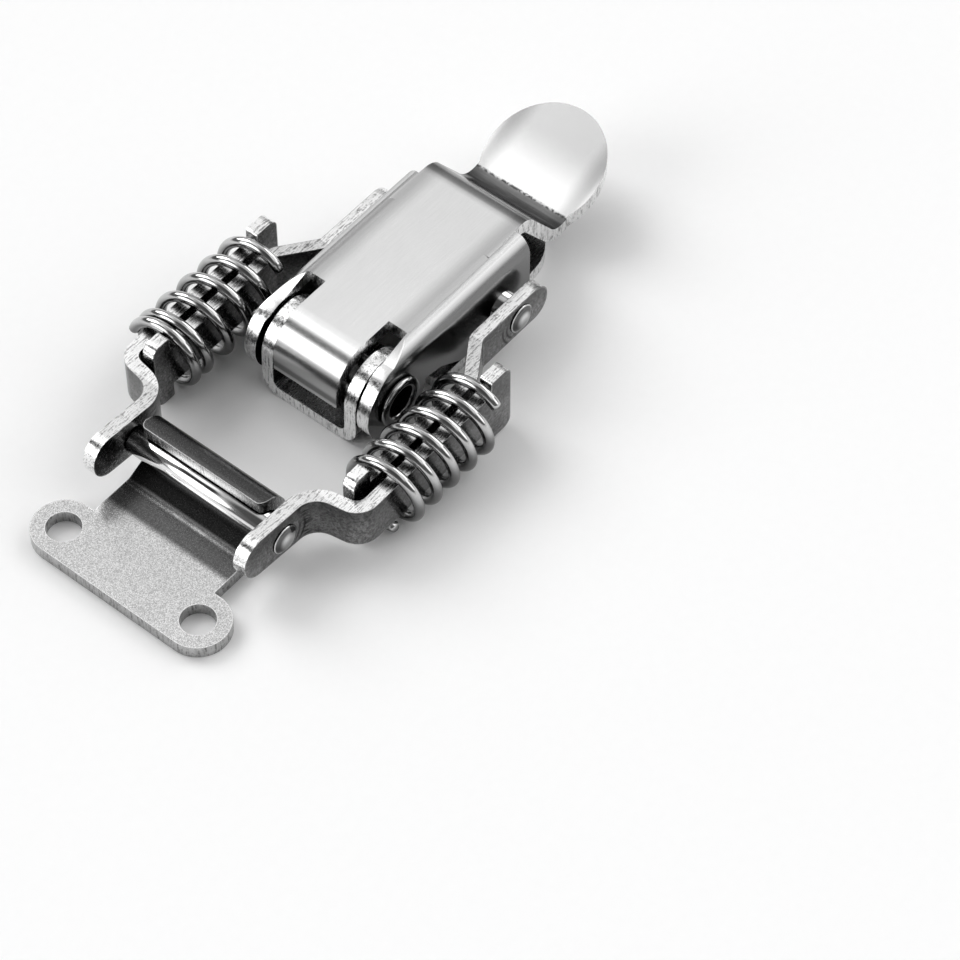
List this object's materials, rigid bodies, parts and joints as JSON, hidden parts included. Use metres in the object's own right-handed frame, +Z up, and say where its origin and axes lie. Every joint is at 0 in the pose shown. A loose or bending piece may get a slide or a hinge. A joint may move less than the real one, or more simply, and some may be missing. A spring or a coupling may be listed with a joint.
{
  "type": "over centre toggle latch",
  "caption": "Stainless over centre latch: stamped lever on a riveted base pulls a sprung loop's crossbar into a folded hook keeper.",
  "frame": {"origin": "midway between the base's two screw holes, on the mounting plane", "axes": "+X from the keeper towards the lever's tail, +Y to the left, +Z up off the mounting plane"},
  "size_m": [0.0755, 0.0382, 0.0111],
  "materials": {
    "base_steel": "brushed stainless sheet",
    "rivet_steel": "turned stainless tube",
    "keeper_steel": "fine grained matte stainless sheet",
    "lever_steel": "satin brushed stainless sheet",
    "arm_steel": "tumbled stainless strip",
    "pin_steel": "polished stainless bar",
    "spring_steel": "polished stainless spring wire"
  },
  "bodies": {
    "base": {"base_plate": "base_steel", "pivot_rivet": "rivet_steel", "keeper_plate": "keeper_steel"},
    "lever": {"lever": "lever_steel"},
    "rear_arms": {"rear_arm_left": "arm_steel", "rear_arm_right": "arm_steel", "arm_pin": "pin_steel", "spring_left": "spring_steel", "spring_right": "spring_steel"},
    "front_loop": {"front_arm_left": "arm_steel", "front_arm_right": "arm_steel", "crossbar": "pin_steel"}
  },
  "joints": [
    {"name": "lever_pivot", "type": "hinge", "parent": "base", "child": "lever", "pos_m": [-0.0167, 0, 0.0053], "axis": [0, -1, 0], "range_deg": [0, 38]},
    {"name": "arms_pivot", "type": "hinge", "parent": "lever", "child": "rear_arms", "pos_m": [0, 0, 0.0047], "axis": [0, -1, 0], "range_deg": [-22, 1]},
    {"name": "spring_slide", "type": "slide", "parent": "rear_arms", "child": "front_loop", "axis": [-1, 0, 0], "range_m": [0, 0.0012], "stiffness_N_per_m": 18500, "deforming": ["spring_left", "spring_right"]}
  ],
  "couplings": [
    {"joint": "arms_pivot", "follows": "lever_pivot", "ratio": -0.56}
  ]
}
